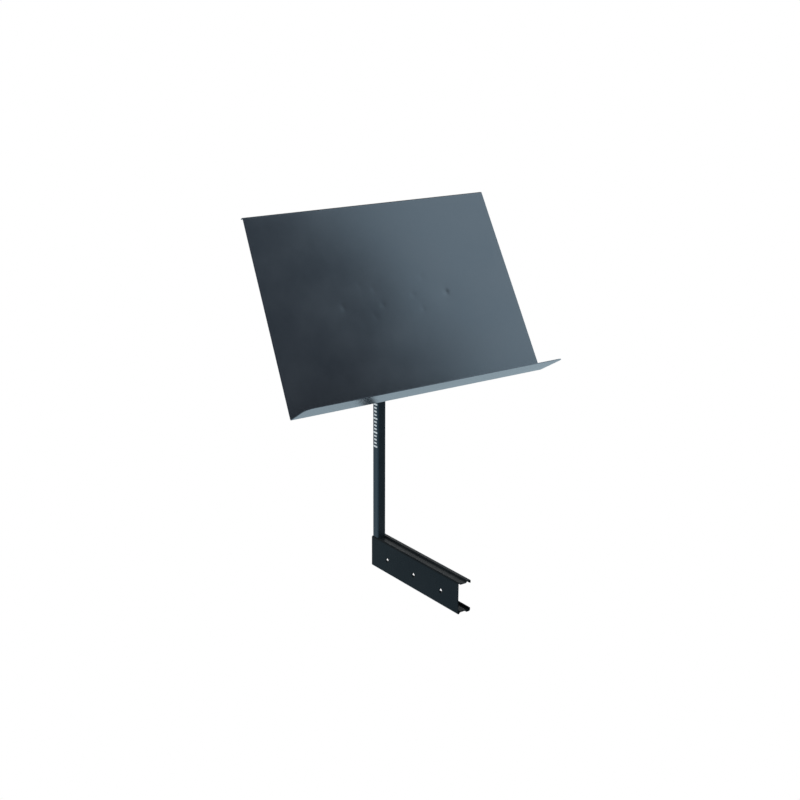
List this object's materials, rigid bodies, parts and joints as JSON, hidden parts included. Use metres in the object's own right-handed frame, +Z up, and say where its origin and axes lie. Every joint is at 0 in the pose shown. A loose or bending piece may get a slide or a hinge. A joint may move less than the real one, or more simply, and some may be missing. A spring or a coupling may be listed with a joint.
{
  "type": "music stand",
  "caption": "Add-on music desk: folded steel desk with ledge, tilting on a clamp bolt at the top of a square post, on a channel that bolts to a keyboard stand.",
  "frame": {"origin": "middle one of the three countersunk fixing holes, at the inner face of the channel's web", "axes": "+X the reader's right and into the channel, +Y away from the reader, +Z up"},
  "size_m": [0.5078, 0.2743, 0.6316],
  "materials": {
    "desk_enamel": "gloss black enamel on sheet steel",
    "post_enamel": "semi-gloss black enamel on steel tube",
    "rail_enamel": "semi-gloss black enamel on folded steel",
    "zinc_steel": "zinc plated",
    "knob_plastic": "fine-textured black moulding",
    "cap_plastic": "matt black moulding",
    "nylon": "natural nylon",
    "insert_brass": "turned"
  },
  "bodies": {
    "post": {"rail_channel": "rail_enamel", "post_tube": "post_enamel", "pivot_bush": "zinc_steel", "post_cap": "cap_plastic", "foot_plug": "zinc_steel", "foot_washer": "zinc_steel", "foot_screw": "zinc_steel"},
    "desk": {"desk_plate": "desk_enamel", "back_plate": "desk_enamel", "tilt_ear_left": "desk_enamel", "tilt_ear_right": "desk_enamel", "ear_rivets": "desk_enamel", "pivot_bolt": "zinc_steel", "friction_washer_left": "nylon", "friction_washer_right": "nylon"},
    "washers": {"flat_washer": "zinc_steel", "spring_washer": "zinc_steel"},
    "knob": {"lock_knob": "knob_plastic", "knob_insert": "insert_brass", "knob_lid": "knob_plastic"}
  },
  "joints": [
    {"name": "desk_tilt", "type": "hinge", "parent": "post", "child": "desk", "pos_m": [0.008, 0.114, 0.4626], "axis": [1, 0, 0], "range_deg": [-50, 25]},
    {"name": "washer_travel", "type": "slide", "parent": "desk", "child": "washers", "axis": [1, 0, 0], "range_m": [0, 0.001]},
    {"name": "knob_turn", "type": "hinge", "parent": "washers", "child": "knob", "pos_m": [0.008, 0.114, 0.4626], "axis": [1, 0, 0], "range_deg": [0, 361]}
  ],
  "couplings": [
    {"joint": "knob_turn", "follows": "washer_travel", "rad_per_m": 6283.2}
  ]
}
